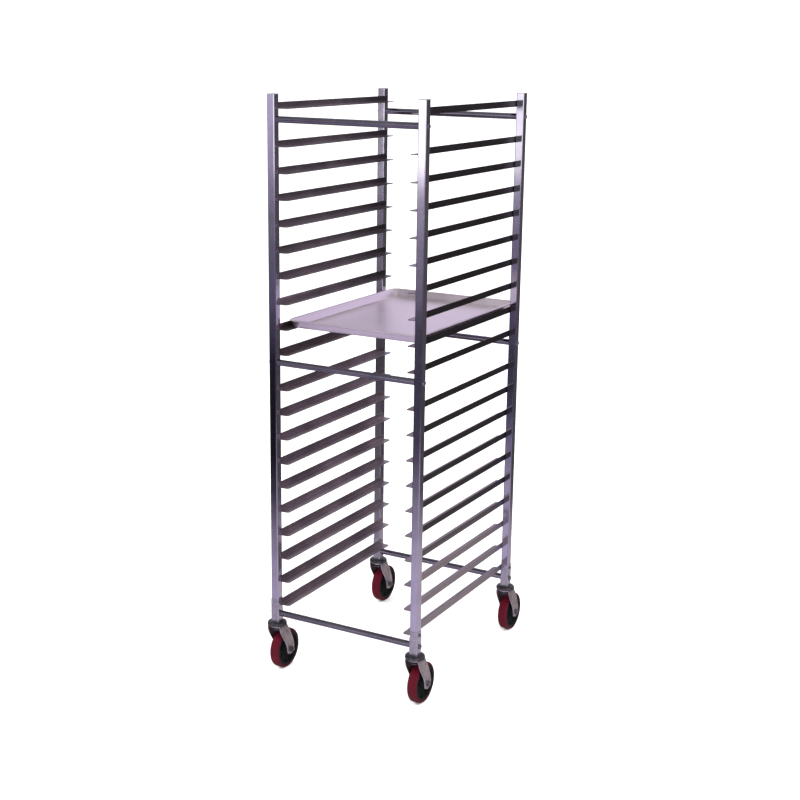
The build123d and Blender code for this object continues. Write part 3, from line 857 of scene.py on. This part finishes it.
def make_welds():
    """Rippled beads down the end of every ledge web, on the inner faces of the posts."""
    draw = random.Random(WELD_SEED)
    bm = bmesh.new()
    for level in range(1, LEVELS + 1):
        low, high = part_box(f"ledges_level_{level:02d}")
        for face_x in (low[0], high[0]):
            for end_y in (low[1], high[1]):
                away = -1 if end_y == low[1] else 1
                inward = -1 if face_x > 0 else 1
                bottom, top = low[2] + WELD_FOOT, high[2] - WELD_HEAD
                rows = []
                for i in range(WELD_RINGS):
                    t = i / (WELD_RINGS - 1)
                    end = math.sqrt(max(WELD_END_LEAST, 1 - (2 * t - 1) ** WELD_END_POWER))
                    ripple = WELD_RIPPLE * math.cos(math.pi * i)
                    swell = 1 + ripple + draw.uniform(-WELD_UNEVEN, WELD_UNEVEN)
                    radius = WELD_RADIUS * end * swell
                    z = bottom + (top - bottom) * t
                    row = []
                    for j in range(WELD_SIDES):
                        angle = 2 * math.pi * j / WELD_SIDES
                        x = face_x + inward * (WELD_PROUD + radius * WELD_FLATNESS * math.cos(angle))
                        y = end_y + away * WELD_GAP + radius * math.sin(angle)
                        row.append((x, y, z))
                    rows.append(row)
                verts = skin_rows(bm, rows)
                bm.faces.new(verts[0])
                bm.faces.new(verts[-1])
    piece = add_object("ledge_welds", to_mesh("ledge_welds", bm), "ledge_aluminium")
    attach(piece, "rack")


# ---- studio --------------------------------------------------------------------------------
def make_floor():
    bpy.ops.mesh.primitive_plane_add(size=FLOOR_SIZE, location=(0, 0, 0))
    floor = bpy.context.object
    floor.name = "studio_floor"
    g = Graph("studio floor")
    shade = g.noise(0.6, 2.0, 0.5)
    spread = (0.3, 0.7)
    colour = g.ramp(shade, list(zip(spread, FLOOR_GREYS)))
    roughness = g.ramp(shade, list(zip(spread, FLOOR_ROUGHNESS)))
    floor.data.materials.append(g.finish(colour, roughness))
    floor.visible_glossy = False


def make_world():
    """Plain white all round, but glossy rays see a darker room with upright panels instead."""
    world = bpy.data.worlds.new("studio")
    bpy.context.scene.world = world
    world.use_nodes = True
    tree = world.node_tree
    tree.nodes.clear()
    link = tree.links.new
    where = tree.nodes.new("ShaderNodeTexCoord").outputs["Generated"]
    split = tree.nodes.new("ShaderNodeSeparateXYZ")
    link(where, split.inputs[0])

    def between(value, low, high):
        node = tree.nodes.new("ShaderNodeMapRange")
        node.inputs["From Min"].default_value = low
        node.inputs["From Max"].default_value = high
        link(value, node.inputs["Value"])
        return node.outputs["Result"]

    def maths(operation, first, second=0.5):
        node = tree.nodes.new("ShaderNodeMath")
        node.operation = operation
        for socket, value in zip(node.inputs, (first, second)):
            if isinstance(value, float):
                socket.default_value = value
            else:
                link(value, socket)
        return node.outputs["Value"]

    def by_elevation(stops):
        """A colour for each elevation in degrees, from -30 to +30 and level beyond."""
        node = tree.nodes.new("ShaderNodeValToRGB")
        for i, (elevation, grey, tint) in enumerate(stops):
            element = node.color_ramp.elements[i] if i < 2 else node.color_ramp.elements.new(1.0)
            element.position = math.sin(math.radians(elevation)) + SINE_LIMIT
            element.color = (*(grey * channel for channel in tint), 1.0)
        link(between(split.outputs["Z"], -SINE_LIMIT, SINE_LIMIT), node.inputs["Fac"])
        return node.outputs["Color"]

    def mixed(factor, first, second):
        node = tree.nodes.new("ShaderNodeMix")
        node.data_type = "RGBA"
        link(factor, node.inputs["Factor"])
        link(first, node.inputs["A"])
        link(second, node.inputs["B"])
        return node.outputs["Result"]

    def backdrop(colour, strength):
        node = tree.nodes.new("ShaderNodeBackground")
        node.inputs["Strength"].default_value = strength
        if isinstance(colour, tuple):
            node.inputs["Color"].default_value = (*colour, 1.0)
        else:
            link(colour, node.inputs["Color"])
        return node.outputs["Background"]

    # The X of the level direction: the direction's X over the length of its level part.
    squared = maths("MULTIPLY", split.outputs["Z"], split.outputs["Z"])
    level = maths("SQRT", maths("SUBTRACT", 1.0, squared))
    sideways = maths("DIVIDE", split.outputs["X"], level)
    front = by_elevation(FRONT_FIRST)
    for start, end, stops in FRONT_PANELS:
        front = mixed(between(sideways, start, end), front, by_elevation(stops))
    rear = by_elevation(REAR_ROOM)
    room = mixed(between(split.outputs["Y"], -ROOM_SEAM, ROOM_SEAM), front, rear)
    ray = tree.nodes.new("ShaderNodeLightPath")
    choose = tree.nodes.new("ShaderNodeMixShader")
    link(ray.outputs["Is Glossy Ray"], choose.inputs["Fac"])
    link(backdrop((1.0, 1.0, 1.0), FLOOR_LIGHT), choose.inputs[1])
    link(backdrop(room, 1.0), choose.inputs[2])
    output = tree.nodes.new("ShaderNodeOutputWorld")
    link(choose.outputs["Shader"], output.inputs["Surface"])


def soft_light(name, place, power):
    data = bpy.data.lights.new(name, "AREA")
    data.shape = "DISK"
    data.size = LAMP_SIZE
    data.energy = power
    lamp = bpy.data.objects.new(name, data)
    bpy.context.scene.collection.objects.link(lamp)
    lamp.visible_glossy = False  # the metal mirrors the room alone
    lamp.location = place
    aim = Vector(LAMP_AIM) - Vector(place)
    lamp.rotation_euler = aim.to_track_quat("-Z", "Y").to_euler()


def make_camera():
    turn = (
        Matrix.Rotation(CAMERA_YAW, 3, "Z")
        @ Matrix.Rotation(math.pi / 2 + CAMERA_PITCH, 3, "X")
        @ Matrix.Rotation(CAMERA_ROLL, 3, "Z")
    )
    data = bpy.data.cameras.new("camera")
    data.lens = LENS
    data.sensor_width = SENSOR
    camera = bpy.data.objects.new("camera", data)
    camera.location = CAMERA_PLACE
    camera.rotation_euler = turn.to_euler()
    bpy.context.scene.collection.objects.link(camera)
    bpy.context.scene.camera = camera


make_camera()
make_world()
make_floor()
for lamp_name, lamp_place, lamp_power in LAMPS:
    soft_light(lamp_name, lamp_place, lamp_power)
bpy.context.scene.view_settings.view_transform = "Standard"
paint_frame()
for corner in CORNERS:
    make_stem(corner)
    make_fork(corner)
    make_tread(corner)
    make_core(corner)
make_pan()
make_welds()
